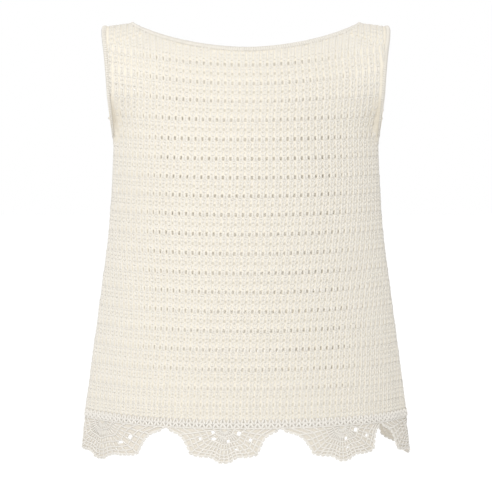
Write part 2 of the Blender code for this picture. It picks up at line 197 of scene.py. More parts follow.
SECTIONS = table("drop half_width front_depth back_depth", (
    (0.000, 0.1748, 0.000, 0.000), (0.004, 0.1758, 0.023, 0.023), (0.016, 0.1752, 0.047, 0.046),
    (0.036, 0.1732, 0.067, 0.065), (0.064, 0.1712, 0.080, 0.078), (0.100, 0.1696, 0.092, 0.089),
    (0.144, 0.1670, 0.102, 0.097), (0.200, 0.1688, 0.109, 0.099), (0.260, 0.1730, 0.112, 0.099),
    (0.340, 0.1832, 0.115, 0.105), (0.420, 0.1941, 0.119, 0.112), (0.487, 0.2028, 0.122, 0.116),
    (0.560, 0.2100, 0.124, 0.118),
))

FLUTES = table("angle half_angle height start", (
    (-66.0, 17.0, -0.0030, 0.30), (-30.0, 20.0, 0.0022, 0.34), (10.0, 22.0, -0.0018, 0.38),
    (47.0, 18.0, 0.0026, 0.30), (76.0, 14.0, -0.0024, 0.33), (112.0, 18.0, 0.0030, 0.30),
    (150.0, 20.0, -0.0034, 0.26), (188.0, 22.0, 0.0030, 0.30), (226.0, 18.0, -0.0032, 0.28),
    (257.0, 15.0, 0.0026, 0.34),
))
FLUTE_FULL = 0.50

NECK_BAND = 0.0055
ARM_BAND = 0.0046
BAND_THICK = 0.0034
FLARE_START = UNDERARM - UNDERARM_SOFT  # below it the cloth flares out to the armhole's edge

HEM_LEVEL = 0.515
Scallop = namedtuple("Scallop", "middle corner_before valley_before corner_after valley_after length")
FRONT_SCALLOPS = [Scallop(*row) for row in (
    (-0.2098, 0.0520, 0.0780, 0.0693, 0.1077, 1.12), (-0.0265, 0.0427, 0.0756, 0.0408, 0.0690, 1.00),
    (0.1240, 0.0400, 0.0815, 0.0460, 0.0618, 1.02), (0.2680, 0.0490, 0.0822, 0.0460, 0.0660, 1.12),
)]
BACK_SCALLOPS = 3
CORNER_SHARE = 0.62
STRIP = 0.0105
FAN_CORNER = 0.0432
FAN_HALF = 0.073
FAN_SPOKES = 20
FAN_EYE = 0.004

OUTLINE = table("angle reach", (
    (0.0, 0.0435), (9.0, 0.0432), (18.0, 0.0405), (27.0, 0.0405), (36.0, 0.0440), (45.0, 0.0486),
    (54.0, 0.0534), (63.0, 0.0520), (72.0, 0.0522), (81.0, 0.0562), (90.0, FAN_HALF),
))

RINGS = table("radius share", (
    (FAN_EYE, 0.00), (0.0105, 0.15), (0.0195, 0.30), (0.0260, 0.45), (0.0325, 0.65),
    (0.0365, 0.84), (0.0405, 1.00),
))

Gap = namedtuple("Gap", "ring first last")
GAPS = [Gap(1, first, first + 2) for first in (1, 4, 7, 11, 14, 17)]
GAPS += [Gap(3, first, first + 1) for first in (2, 4, 6, 8, 11, 13, 15, 17)]

# ---- courses of stitches
# Drop of each course of holes at the middle of the panel, from the neck down
HOLE_COURSES = (
    0.0529, 0.0756, 0.0974, 0.1201, 0.1440, 0.1675, 0.1904, 0.2128, 0.2357, 0.2598,
    0.2833, 0.3073, 0.3304, 0.3542, 0.3779, 0.4010, 0.4250, 0.4481, 0.4682, 0.4890,
)
COURSE = 0.0232  # usual distance between two of them

# How the columns of stitches lie: their pitch at the middle, how they crowd towards the sides,
# how many columns they lean over, and how far a course rises at the shoulder line
LIES = table("drop pitch crowding lean rise", (
    (0.030, 0.00870, 0.65, 0.02, 0.0175), (0.052, 0.00870, 0.65, 0.02, 0.0160),
    (0.075, 0.00880, 0.65, 0.16, 0.0126), (0.097, 0.00878, 0.65, 0.13, 0.0086),
    (0.120, 0.00875, 0.65, -0.06, 0.0050), (0.145, 0.00880, 0.62, -0.11, 0.0030),
    (0.190, 0.00895, 0.60, -0.15, 0.0022), (0.235, 0.00890, 0.62, -0.38, 0.0022),
    (0.282, 0.00878, 0.85, -0.60, 0.0024), (0.329, 0.00855, 1.00, -0.85, 0.0026),
    (0.377, 0.00835, 1.05, -1.24, 0.0025), (0.424, 0.00830, 1.05, -1.54, 0.0015),
    (0.470, 0.00822, 1.05, -1.86, 0.0000),
))
RISE_AT = 0.82  # share of the half width where rise is read
BACK_WIDER = 1.06  # columns of the back are this much wider
STRETCH = 0.93  # the cloth is drawn out by no more than this where it turns away

STITCH_WIDTH = 0.00867  # of the drawn stitches
YARN_DEPTH = 0.0017  # middle of the yarn below the cloth's outer face


def ease(t):
    t = np.clip(t, 0.0, 1.0)
    return t * t * (3.0 - 2.0 * t)


def ramp(value, start, reach):
    """Rises from 0 at the start to 1 after the reach."""
    return ease((value - start) / reach)


class Profile:
    """Monotone cubic through a list of keys and values."""

    def __init__(self, keys, values):
        self.keys, self.values = np.array(keys), np.array(values)
        steps = np.diff(self.values) / np.diff(self.keys)
        before, after = steps[:-1], steps[1:]
        same_way = before * after > 0.0
        total = np.where(same_way, before + after, 1.0)
        middle = np.where(same_way, 2.0 * before * after / total, 0.0)
        self.slopes = np.concatenate([steps[:1], middle, steps[-1:]])

    def __call__(self, at):
        i = np.clip(np.searchsorted(self.keys, at, side="right") - 1, 0, len(self.keys) - 2)
        span = self.keys[i + 1] - self.keys[i]
        t = (at - self.keys[i]) / span
        rise = self.values[i + 1] - self.values[i]
        start, end = self.slopes[i] * span, self.slopes[i + 1] * span
        curve = (3.0 * rise - 2.0 * start - end) + t * (start + end - 2.0 * rise)
        return self.values[i] + t * (start + t * curve)


def section(column):
    """A size of the body's section at a drop; its curve runs on the root of the drop."""
    line = Profile(np.sqrt([row.drop for row in SECTIONS]), [getattr(row, column) for row in SECTIONS])
    return lambda drop: line(np.sqrt(np.maximum(drop, 0.0)))


half_width, front_depth, back_depth = [section(f) for f in ("half_width", "front_depth", "back_depth")]
fan_reach = Profile([row.angle for row in OUTLINE], [row.reach for row in OUTLINE])


def armhole_depth(drop):
    share = np.clip(drop / UNDERARM, 0.0, 1.0)
    return 2.0 * ARMHOLE_DEPTH * np.sqrt(share * (1.0 - share))


def flute(turn, drop):
    out = 0.0
    for row in FLUTES:
        away = ((np.degrees(turn) - row.angle + 180.0) % 360.0 - 180.0) / row.half_angle
        crest = np.where(np.abs(away) < 1.0, np.cos(0.5 * math.pi * away) ** 2, 0.0)
        out = out + row.height * crest * ramp(drop, row.start, FLUTE_FULL - row.start)
    return out


def surface(turn, drop):
    """Outer face of the cloth, for arrays of turns and drops."""
    turn, drop = np.broadcast_arrays(np.asarray(turn, float), np.asarray(drop, float))
    cos, sin = np.cos(turn), np.sin(turn)
    front = cos >= 0.0
    depth = np.where(front, front_depth(drop), back_depth(drop))
    edge = armhole_depth(drop)
    soft = edge * ease((UNDERARM - drop) / UNDERARM_SOFT)
    bulge = soft + (edge - soft) * np.abs(sin) ** EDGE_SHARP
    along = np.abs(cos) ** (2.0 * CHEST_ROUND)
    y = depth * along + bulge * (1.0 - along) ** BULGE_NARROW
    x = half_width(drop) * sin
    lift = BACK_LIFT * np.maximum(0.0, -cos) ** 2 * ramp(drop, LIFT_START, LIFT_END - LIFT_START)
    fall = SHOULDER_SLOPE * np.maximum(0.0, np.abs(x) - SLOPE_START) * np.exp(-drop / SLOPE_FADE)
    push = flute(turn, drop)
    return np.stack([x + push * sin, np.where(front, -y, y) - push * cos, lift - drop - fall], -1)


def norm(vectors):
    return np.linalg.norm(vectors, axis=-1)


def unit(vectors):
    return vectors / np.maximum(np.linalg.norm(vectors, axis=-1, keepdims=True), 1e-12)


def run_along(points):
    """Distance along a line of points, at each of them."""
    steps = norm(np.diff(points, axis=0))
    return np.concatenate([np.zeros_like(steps[:1]), np.cumsum(steps, 0)])


def joined(*rows):
    """Lists of the same parts, each part joined end to end."""
    return [np.concatenate(part) for part in zip(*rows)]


TURN_STEP = math.radians(1.0)
EDGE_STEP = math.radians(5.0)  # where an edge leaves less room than that
ROOT_STEP = 0.004  # of the root of the drop
HEART = np.array([0.0, 0.0, -0.12])  # a place well inside the top
RIDGE_CLOSE = 0.03  # above this drop a direction may come out turned inwards


def outward(turn, drop, middle=None):
    """Outward directions; a panel's middle keeps the reading on that panel's side of its edges."""
    turn, drop = np.broadcast_arrays(np.asarray(turn, float), np.asarray(drop, float))
    near, far = turn - TURN_STEP, turn + TURN_STEP
    if middle is not None:
        near, far = [np.clip(end, middle - EDGE_TURN, middle + EDGE_TURN) for end in (near, far)]
        thin = far - near < 1.5 * TURN_STEP
        near = np.where(thin & (turn > middle), near - EDGE_STEP, near)
        far = np.where(thin & (turn < middle), far + EDGE_STEP, far)
    root = np.sqrt(np.maximum(drop, 0.0))
    across = surface(far, drop) - surface(near, drop)
    down = surface(turn, (root + ROOT_STEP) ** 2) - surface(turn, np.maximum(root - ROOT_STEP, 0.0) ** 2)
    out = unit(np.cross(down, across))
    wrong = ((out * (surface(turn, drop) - HEART)).sum(-1) < 0.0) & (drop < RIDGE_CLOSE)
    return np.where(wrong[..., None], -out, out)


FLAT = np.array([1.0, 0.0, 1.0])
ON_RIDGE = 1e-9  # a drop less than this is on the ridge of the shoulder


def face(turn, drop, middle=None):
    """Places and outward directions; on the ridge the cloth faces straight up and out, neither
    forwards nor back."""
    place, out = surface(turn, drop), outward(turn, drop, middle)
    ridge = (np.asarray(drop) < ON_RIDGE)[..., None]
    return np.where(ridge, place * FLAT, place), np.where(ridge, unit(out * FLAT), out)


def neck_drop(x, middle):
    share = np.minimum(np.abs(x) / NECK_HALF, 1.0)
    return NECK_DROP[middle] * (1.0 - share ** NECK_BEND) ** NECK_TURN


def seam_drop(x):
    return SEAM_DROP + (np.abs(x) - SEAM_INNER) * SEAM_SLOPE


SETTLING = 30  # rounds until the top edge's drop agrees with the width there


def top_drop(share, middle):
    """Drop of a panel's top edge at a share of the half width."""
    drop = np.full(np.shape(share), SEAM_DROP)
    inside = NECK_HALF if middle == BACK else SEAM_INNER
    for _ in range(SETTLING):
        x = share * half_width(drop)
        beyond = 0.0 if middle == BACK else seam_drop(x)
        drop = 0.5 * (drop + np.where(np.abs(x) < inside, neck_drop(x, middle), beyond))
    return np.where(drop < 1e-6, 0.0, drop)


def flap_point(side, across, down, gap=0.0):
    """Places and directions on the back panel's strap in front of the ridge; across runs from neck
    to armhole."""
    across, down = np.broadcast_arrays(np.asarray(across, float), np.asarray(down, float))
    neck_level = down ** 2 * SEAM_DROP
    arm_level = down ** 2 * top_drop(np.array(1.0), FRONT)
    share = np.minimum(neck_level / NECK_DROP[FRONT], 1.0)
    neck_x = NECK_HALF * (1.0 - share ** (1.0 / NECK_TURN)) ** (1.0 / NECK_BEND)
    x = neck_x + (half_width(arm_level) - neck_x) * across
    drop = np.maximum(neck_level + (arm_level - neck_level) * across - gap, 0.0)
    turn = side * np.minimum(np.arcsin(np.minimum(x / half_width(drop), 1.0)), EDGE_TURN)
    return face(turn, drop, FRONT)


# ---- columns and courses
def lie(column, drop):
    return np.interp(drop, [row.drop for row in LIES], [getattr(row, column) for row in LIES])


def course_drop(course):
    """Drop at the middle of the panel of a course, counted in fractions from the first holes."""
    return float(np.interp(course, range(len(HOLE_COURSES)), HOLE_COURSES))


TURNS = np.linspace(-SIDE_TURN, SIDE_TURN, 1201)  # where columns are counted
SHARES = np.sin(TURNS)
known_columns = {}


def course_line(drop, share):
    """Drops along a course, at shares of the half width."""
    return drop - lie("rise", drop) * (share / RISE_AT) ** 2


def columns_at(drop, middle):
    """Columns counted from the middle, at each of SHARES. Where the cloth turns away beside an
    armhole it holds more of them than its width shows."""
    if (drop, middle) not in known_columns:
        crowding = lie("crowding", drop)
        crowd = crowding * SHARES
        bent = 0.5 * SHARES * np.sqrt(1.0 + crowd ** 2) + np.arcsinh(crowd) / (2.0 * crowding)
        plain = np.diff(half_width(drop) * bent)
        line = surface(middle + TURNS * EDGE_INSIDE, course_line(drop, SHARES))
        steps = np.maximum(plain, STRETCH * norm(np.diff(line, axis=0)))
        run = np.concatenate([[0.0], np.cumsum(steps)])
        pitch = lie("pitch", drop) * (BACK_WIDER if middle == BACK else 1.0)
        known_columns[drop, middle] = (run - run[len(run) // 2]) / pitch
    return known_columns[drop, middle]


def leaning(drop, middle):
    """Columns that the middle one leans over on a course."""
    return -lie("lean", drop) - 0.5 if middle == BACK else lie("lean", drop)


def spot(column, course, middle):
    """Turn and drop of a column, counted from the leaning middle one, on a course."""
    drop = course_drop(course)
    turn = np.interp(column + leaning(drop, middle), columns_at(drop, middle), TURNS * EDGE_INSIDE)
    share = np.sin(turn)
    low = course_line(drop, share)
    if course < 0.0:
        low = climb(share, low, -course * COURSE, middle)
    return middle + turn, low


def climb(share, drop, distance, middle):
    """Drop at a distance up the cloth from another drop."""
    steps = np.linspace(1.0, 0.0, 60)[:, None] ** 2 * drop
    turn = np.arcsin(np.clip(share * half_width(drop) / half_width(steps), -1.0, 1.0))
    run = run_along(surface(middle + turn * EDGE_INSIDE, steps))
    return np.array([np.interp(distance, run[:, i], steps[:, i]) for i in range(len(drop))])


def side_room(turn, drop):
    """Distance along the cloth to the panel's side edge."""
    edge = surface(np.sign(turn) * EDGE_TURN, drop)
    return norm(surface(turn, drop) - edge)


def post_columns(course, middle):
    """Columns of the posts that fit across the panel on a course; whole columns are the holes."""
    drop = course_drop(course)
    most = columns_at(drop, middle)[-1]
    first = leaning(drop, middle) + 0.5
    return np.arange(math.ceil(-most - first), math.floor(most - first) + 1) + 0.5


COURSE_STEP = 0.12  # of a course, each way, to read how tall it is
TALLNESS = (0.85, 1.3)  # a stitch is drawn out or squeezed to these shares of its drawn height
WIDENESS = (0.5, 1.3)  # and to these of its drawn width
SHORTEST = 0.002  # where a course is squeezed to less than this it has no stitches
WIDEST = 2.2  # nor where a column is this many stitches wide
TOP_ROOM = 0.2  # of a stitch's height, kept free under the top edge
LOW_STITCH = 0.004  # one lower than this keeps LOW_ROOM stitch widths free at the side, others ROOM
LOW_ROOM, ROOM = 0.5, 0.2


def stitch_rows(middle, courses, height):
    """Places, directions and sizes of the stitches of some courses."""
    found = []
    for course in courses:
        columns = post_columns(course, middle)
        turn, drop = spot(columns, course, middle)
        left, right = [surface(*spot(columns + side, course, middle)) for side in (-0.5, 0.5)]
        above = surface(*spot(columns, course - COURSE_STEP, middle))
        below = surface(*spot(columns, course + COURSE_STEP, middle))
        rise = norm(above - below)
        tall = np.clip(rise / (2.0 * COURSE_STEP * COURSE), *TALLNESS)
        share = np.sin(turn - middle)
        top = top_drop(share, middle)
        place = surface(turn, drop)
        clear = (norm(place - surface(turn, top)) > TOP_ROOM * height) & (drop > top)
        room = side_room(turn - middle, drop) / STITCH_WIDTH
        clear &= (room > (LOW_ROOM if height < LOW_STITCH else ROOM)) & (rise > SHORTEST)
        across = right - left
        wide = norm(across) / STITCH_WIDTH
        clear &= wide < WIDEST
        wide = np.minimum(wide, np.clip(2.0 * room, *WIDENESS))
        place = place - outward(turn, drop, middle) * YARN_DEPTH
        found.append([part[clear] for part in (place, unit(across), unit(above - below), wide, tall)])
    return joined(*found)


def upward(turn, drop):
    """Direction up the cloth."""
    return unit(surface(turn, drop - 0.002) - surface(turn, drop + 0.002))


def beside(out, up):
    """Direction across a stitch."""
    return unit(np.cross(-out, up))


# ---- meshes
def linked(name, data):
    """An object of its own in the scene."""
    piece = bpy.data.objects.new(name, data)
    bpy.context.scene.collection.objects.link(piece)
    return piece


def finished(name, mesh, *materials):
    """A piece of what the mesh code made, its faces outwards."""
    bmesh.ops.recalc_face_normals(mesh, faces=mesh.faces)
    data = bpy.data.meshes.new(name)
    mesh.to_mesh(data)
    mesh.free()
    for material in materials:
        data.materials.append(material)
    return linked(name, data)


# ---- yarn
def strand(mesh, uv, path, radii, sides, outs=None):
    """A tube of yarn through some points; its map runs along it in centimetres, and round it."""
    path = [Vector(p) for p in path]
    rings, runs = [], []
    for i, place in enumerate(path):
        along = (path[min(i + 1, len(path) - 1)] - path[max(i - 1, 0)]).normalized()
        side = along.cross(Vector(outs[i]) if outs is not None else Vector((0.0, 1.0, 0.0))).normalized()
        up = side.cross(along)
        runs.append(runs[-1] + (place - path[i - 1]).length if i else 0.0)
        ring = []
        for j in range(sides):
            angle = 2.0 * math.pi * j / sides
            ring.append(mesh.verts.new(place + (side * math.cos(angle) + up * math.sin(angle)) * radii[i]))
        rings.append(ring)
    for i in range(len(rings) - 1):
        for j in range(sides):
            k = (j + 1) % sides
            face = mesh.faces.new((rings[i][j], rings[i][k], rings[i + 1][k], rings[i + 1][j]))
            face.smooth = True
            for loop, (a, b) in zip(face.loops, ((i, j), (i, j + 1), (i + 1, j + 1), (i + 1, j))):
                loop[uv].uv = (runs[a] * 100.0, b / sides)
    for ring, order in ((rings[0], -1), (rings[-1], 1)):
        mesh.faces.new(ring[::order]).smooth = True


def drawn_stitch(name, strands):
    """One stitch as a mesh of its own."""
    mesh = bmesh.new()
    uv = mesh.loops.layers.uv.new("UVMap")
    for points, radii, sides in strands:
        strand(mesh, uv, [Vector(p) * 0.001 for p in points], [r * 0.001 for r in radii], sides)
    return finished(name, mesh)


def mirrored(points, radii, sides):
    return [(-x, y, z) for x, y, z in points], radii, sides


# Strands of the drawn stitches: points and radii in millimetres, and how many sides the tube has
POST_LEG = (
    [(-1.9, 0.2, -5.0), (-1.5, -0.4, -1.9), (-1.5, -0.4, 1.9), (-1.9, 0.2, 5.0)], [1.25, 1.45, 1.45, 1.25], 5
)
POST_WRAP = ([(-2.6, -0.2, -2.7), (0.0, -1.5, -1.6), (2.6, -0.2, -0.6)], [0.8, 1.0, 0.8], 4)
V_LEG = (
    [(-0.3, 0.2, -3.3), (-1.4, -0.4, -1.3), (-2.6, -0.4, 0.9), (-3.2, 0.2, 3.3)], [1.2, 1.5, 1.5, 1.25], 5
)
LOOP = ([(-5.0, 0.5, 0.6), (0.0, -0.8, 0.0), (5.0, 0.5, -0.6)], [0.9, 1.3, 0.9], 5)
WRAP = (
    [(-0.8, 0.2, -4.6), (-0.5, -0.75, -3.2), (-0.1, -0.95, -0.8),
     (0.3, -0.8, 1.4), (0.5, 0.1, 2.2), (0.4, 1.0, 1.2)],
    [0.85, 1.15, 1.35, 1.3, 1.1, 0.8], 5,
)
BAR = ([(-0.3, 0.3, -5.0), (0.0, -0.4, 0.0), (0.3, 0.3, 5.0)], [0.95, 1.1, 0.95], 5)
PICOT = (
    [(-2.5, 0.2, -0.6), (-1.5, -0.3, 1.7), (1.5, -0.3, 1.7), (2.5, 0.2, -0.6)], [0.9, 1.05, 1.05, 0.9], 5
)
BAR_HEIGHT = 0.010  # of the drawn one
drawn = {kind: drawn_stitch(f"drawn_{kind}", strands) for kind, strands in (
    ("post", (POST_LEG, mirrored(*POST_LEG), POST_WRAP)),
    ("vee", (V_LEG, mirrored(*V_LEG))),
    ("loop", (LOOP,)), ("wrap", (WRAP,)), ("bar", (BAR,)), ("picot", (PICOT,)),
)}


# ---- trees of nodes
class Tree:
    """A tree that nodes are added to."""

    def add(self, kind, sockets=None, out=0, **settings):
        """One output of a new node of a type, with its settings and its sockets' values or links."""
        node = self.tree.nodes.new(kind)
        for name, value in settings.items():
            setattr(node, name, value)
        for key, value in (sockets or {}).items():
            value = getattr(value, "socket", value)
            if isinstance(value, bpy.types.NodeSocket):
                self.tree.links.new(value, node.inputs[key])
            else:
                node.inputs[key].default_value = value
        return node.outputs[out]


class Flow(Tree):
    """A geometry tree with named inputs."""

    def __init__(self, name, **inputs):
        self.tree = bpy.data.node_groups.new(name, "GeometryNodeTree")
        face = self.tree.interface
        face.new_socket("Geometry", in_out="OUTPUT", socket_type="NodeSocketGeometry")
        for label, kind in (("Geometry", "Geometry"), *inputs.items()):
            face.new_socket(label, in_out="INPUT", socket_type=f"NodeSocket{kind}")
        self.given = self.tree.nodes.new("NodeGroupInput").outputs

    def close(self, socket):
        self.tree.links.new(socket, self.tree.nodes.new("NodeGroupOutput").inputs["Geometry"])

    def run(self, piece, values):
        """Runs the tree on a piece and returns the result as a plain mesh object."""
        modifier = piece.modifiers.new("flow", "NODES")
        modifier.node_group = self.tree
        for item in self.tree.interface.items_tree:
            if item.in_out == "INPUT" and item.name in values:
                modifier[item.identifier] = values[item.name]
        data = bpy.data.meshes.new_from_object(piece.evaluated_get(bpy.context.evaluated_depsgraph_get()))
        name, cloud = piece.name, piece.data
        bpy.data.objects.remove(piece)
        bpy.data.meshes.remove(cloud)
        data.name = name
        return linked(name, data)


def stitch_flow():
    """Sets a drawn stitch on every point, turned along the cloth and a little uneven."""
    flow = Flow("stitches", Stitch="Object", Material="Material", Seed="Int", Unevenness="Float")
    given = flow.given

    def read(name):
        return flow.add("GeometryNodeInputNamedAttribute", {"Name": name}, data_type="FLOAT_VECTOR")

    axes = flow.add(
        "FunctionNodeAxesToRotation", {"Primary Axis": read("up"), "Secondary Axis": read("across")},
        primary_axis="Z", secondary_axis="X",
    )
    most = flow.add("ShaderNodeCombineXYZ", {axis: given["Unevenness"] for axis in "XYZ"})
    least = flow.add("ShaderNodeVectorMath", {0: most, "Scale": -1.0}, operation="SCALE")
    tilt = flow.add(
        "FunctionNodeRandomValue", {0: least, 1: most, "Seed": given["Seed"]}, data_type="FLOAT_VECTOR"
    )
    euler = flow.add("FunctionNodeEulerToRotation", {"Euler": tilt})
    turned = flow.add(
        "FunctionNodeRotateRotation", {"Rotation": axes, "Rotate By": euler}, rotation_space="LOCAL"
    )
    stitch = flow.add("GeometryNodeObjectInfo", {"Object": given["Stitch"], "As Instance": True}, "Geometry")
    placed = flow.add("GeometryNodeInstanceOnPoints", {
        "Points": given["Geometry"], "Instance": stitch, "Rotation": turned, "Scale": read("size"),
    })
    shade = flow.add("FunctionNodeRandomValue", {"Seed": given["Seed"]}, 1, data_type="FLOAT")
    tinted = flow.add(
        "GeometryNodeStoreNamedAttribute", {"Geometry": placed, "Name": "shade", "Value": shade},
        data_type="FLOAT", domain="INSTANCE",
    )
    real = flow.add("GeometryNodeRealizeInstances", {"Geometry": tinted})
    flow.close(flow.add("GeometryNodeSetMaterial", {"Geometry": real, "Material": given["Material"]}))
    return flow


# ---- materials
class Signal:
    """A number that changes over a surface; sums and products of it add Math nodes."""

    def __init__(self, finish, socket):
        self.finish = finish
        self.socket = socket

    def with_math(self, operation, first, second=0.0):
        return self.finish.add("ShaderNodeMath", {0: first, 1: second}, operation=operation)

    def __add__(self, other):
        return self.with_math("ADD", self, other)

    def __mul__(self, other):
        return self.with_math("MULTIPLY", self, other)

    __radd__, __rmul__ = __add__, __mul__

    def sine(self):
        return self.with_math("SINE", self)


class Finish(Tree):
    """A material round one Principled shader."""

    def __init__(self, name, **constants):
        self.material = bpy.data.materials.new(name)
        self.material.use_nodes = True
        self.tree = self.material.node_tree
        self.shader = self.tree.nodes["Principled BSDF"]
        for label, value in constants.items():
            self.shader.inputs[label.replace("_", " ")].default_value = value

    def add(self, *how, **settings):
        return Signal(self, super().add(*how, **settings))

    def mix(self, factor, first, second):
        """A colour between two, by a number from 0 to 1."""
        return self.add("ShaderNodeMix", {"Factor": factor, 6: first, 7: second}, 2, data_type="RGBA")

    def noise(self, scale, detail=2.0, roughness=0.5):
        where = self.add("ShaderNodeTexCoord", None, "Object")
        return self.add(
            "ShaderNodeTexNoise", {"Vector": where, "Scale": scale, "Detail": detail, "Roughness": roughness}
        )

    def bump(self, height, distance, strength):
        bump = self.add("ShaderNodeBump", {"Height": height, "Distance": distance, "Strength": strength})
        self.to("Normal", bump)

    def to(self, socket, signal):
        self.tree.links.new(signal.socket, self.shader.inputs[socket])


PATCHES = 9.0  # patches of the dye to a metre
FUZZ = 2600.0  # the same for the yarn's fuzz
FUZZ_DETAIL = (3.0, 0.65)
INNER_LOOPS = 420.0  # and for the loops of the inner side
YARN_RELIEF, CLOTH_RELIEF = (0.0006, 0.6), (0.0012, 0.7)  # height and strength
PLIES = 3
TWIST = 14.0  # of the plies, in radians to a centimetre of yarn


def yarn_finish(name, light, dark):
    """Soft spun cotton: a fuzzy bump, the twist of its plies and a slightly uneven dye."""
    finish = Finish(name, Roughness=0.88, Sheen_Weight=0.15, Sheen_Roughness=0.5, Specular_IOR_Level=0.25)
    shade = finish.add("ShaderNodeAttribute", None, "Fac", attribute_name="shade")
    tone = 0.6 * finish.noise(PATCHES) + 0.4 * shade
    finish.to("Base Color", finish.mix(tone, dark, light))
    along = finish.add("ShaderNodeSeparateXYZ", {0: finish.add("ShaderNodeUVMap", uv_map="UVMap")})
    around = Signal(finish, along.socket.node.outputs[1])
    plies = (along * TWIST + around * (2.0 * math.pi * PLIES)).sine()
    finish.bump(0.45 * finish.noise(FUZZ, *FUZZ_DETAIL) + 0.35 * plies, *YARN_RELIEF)
    return finish.material


def cloth_finish(name, light, dark):
    """The close inner side of the knit, between the strands."""
    finish = Finish(name, Roughness=0.95, Sheen_Weight=0.1, Specular_IOR_Level=0.15)
    loops = finish.noise(INNER_LOOPS)
    finish.to("Base Color", finish.mix(loops, dark, light))
    finish.bump(loops, *CLOTH_RELIEF)
    return finish.material


# Light and dark of each colour
CREAM = (0.618, 0.593, 0.543, 1.0), (0.588, 0.558, 0.502, 1.0)
# The knit's inner side between the strands, a touch darker and warmer than the yarn as painted shade of that depth
INNER_SHADED = (0.632, 0.592, 0.514, 1.0), (0.592, 0.547, 0.462, 1.0)
# Darker cloth for closed cells between the stitches: painted shade of the gaps there
SHADE_DOT = (0.492, 0.456, 0.388, 1.0), (0.452, 0.416, 0.348, 1.0)
LACE = (0.634, 0.612, 0.572, 1.0), (0.604, 0.576, 0.528, 1.0)
# Lace backing darker than the lace yarn: painted shade for the depth between the cords
LACE_INNER_SHADED = (0.570, 0.535, 0.475, 1.0), (0.520, 0.480, 0.415, 1.0)
knit = yarn_finish("cream_knit_yarn", *CREAM)
backing = cloth_finish("cream_knit_backing", *INNER_SHADED)
shade_dot_finish = cloth_finish("cream_knit_hollow", *SHADE_DOT)
edge_yarn = yarn_finish("cream_edging_yarn", *CREAM)
edge_core = cloth_finish("cream_edging_core", *CREAM)
lace_yarn = yarn_finish("cream_lace_yarn", *LACE)
lace_backing = cloth_finish("cream_lace_backing", *LACE_INNER_SHADED)

stitches = stitch_flow()
UNEVENNESS = 0.05  # radians that a stitch may lean, each way


def stitch_piece(name, kind, rows, seed, material=knit, height=1.0):
    """A piece of stitches of one kind, from points that carry the directions and size of each;
    height is 1 for the drawn height."""
    place, across, up, wide, tall = rows
    data = bpy.data.meshes.new(name)
    data.from_pydata(place.tolist(), [], [])
    size = np.stack([wide, np.ones(len(wide)), height * tall], 1)
    for label, values in (("across", across), ("up", up), ("size", size)):
        layer = data.attributes.new(label, "FLOAT_VECTOR", "POINT")
        layer.data.foreach_set("vector", np.asarray(values, np.float32).ravel())
    values = {"Stitch": drawn[kind], "Material": material, "Seed": seed, "Unevenness": UNEVENNESS}
    return stitches.run(linked(name, data), values)


# ---- backing cloth
BACKING = 0.0008  # thickness of the backing cloth
BACKING_DEPTH = 0.0008  # its outer face below the cloth's
LACE_BACKING_DEPTH = 0.0012  # the same for the lace
SHARP_EDGE = math.radians(50.0)
SAME_PLACE = 0.00001  # points closer than this are one corner


def wall(name, sheets, materials, depth=BACKING_DEPTH):
    """Closed walls from grids: outer points, outward directions, cells left open and, on some,
    cells painted with shade, which take the second, darker material."""
    mesh = bmesh.new()
    for points, out, open_cells, *shaded_cells in sheets:
        outer = points - out * depth
        inner = outer - out * BACKING
        known, pairs = {}, []

        def corner(i, j):
            key = tuple(np.round(points[i, j] / SAME_PLACE).astype(int))
            if key not in known:
                known[key] = len(pairs)
                pairs.append((mesh.verts.new(outer[i, j]), mesh.verts.new(inner[i, j])))
            return known[key]

        edges = {}
        for i in range(points.shape[0] - 1):
            for j in range(points.shape[1] - 1):
                if (i, j) in open_cells:
                    continue
                ring = []
                for index in (corner(i, j), corner(i + 1, j), corner(i + 1, j + 1), corner(i, j + 1)):
                    if index not in ring:
                        ring.append(index)
                if len(ring) < 3:
                    continue
                try:
                    face = mesh.faces.new([pairs[k][0] for k in ring])
                    mesh.faces.new([pairs[k][1] for k in reversed(ring)])
                except ValueError:
                    continue
                # cells painted with shade take the darker second material
                face.material_index = 1 if shaded_cells and (i, j) in shaded_cells[0] else 0
                for a, b in zip(ring, ring[1:] + ring[:1]):
                    edges[a, b] = True
        for a, b in edges:
            if (b, a) not in edges:
                mesh.faces.new((pairs[b][0], pairs[a][0], pairs[a][1], pairs[b][1]))
    for face in mesh.faces:
        face.smooth = True
    piece = finished(name, mesh, *materials)
    piece.data.set_sharp_from_angle(angle=SHARP_EDGE)
    return piece


HOLE_HALF_WIDTH = 0.15  # of a column
HOLE_HALF_HEIGHT = 0.10  # of a course
SHADE_DOT_HALF_HEIGHT = 0.07  # of a course, for the dots of painted shade halfway between two courses of holes
MOST_COLUMNS = 40  # each side of the middle
LAST_OPEN = 17.5  # below this course the holes are closed too, as dots of painted shade
TOP_LINES = {FRONT: -2, BACK: -4}  # first line of the grid, in courses
HOLE_ROOM = 0.002  # cloth kept between a hole and the top edge
HIGH = 0.11  # holes above this drop keep to HIGH_REACH of the half width, others to REACH
HIGH_REACH, REACH = 0.8, 0.96

# How far the holes draw together, at most, and the ramps over which they do: towards the sides and
# the left of the front by share of the half width, the others by drop
SIDES, LEFT, LOW, TOP = 0.5, 0.35, 0.25, 0.3
SIDES_RAMP, LEFT_RAMP, TOP_RAMP = (0.50, 0.35), (0.15, 0.35), (0.25, 0.4)
LOW_RAMP, TOP_FADE = (0.40, 0.05), (-0.13, 0.04)
DEEPER_RAMPS = (0.09, 0.03), (0.27, 0.08)
LEAST_OPEN = 0.25


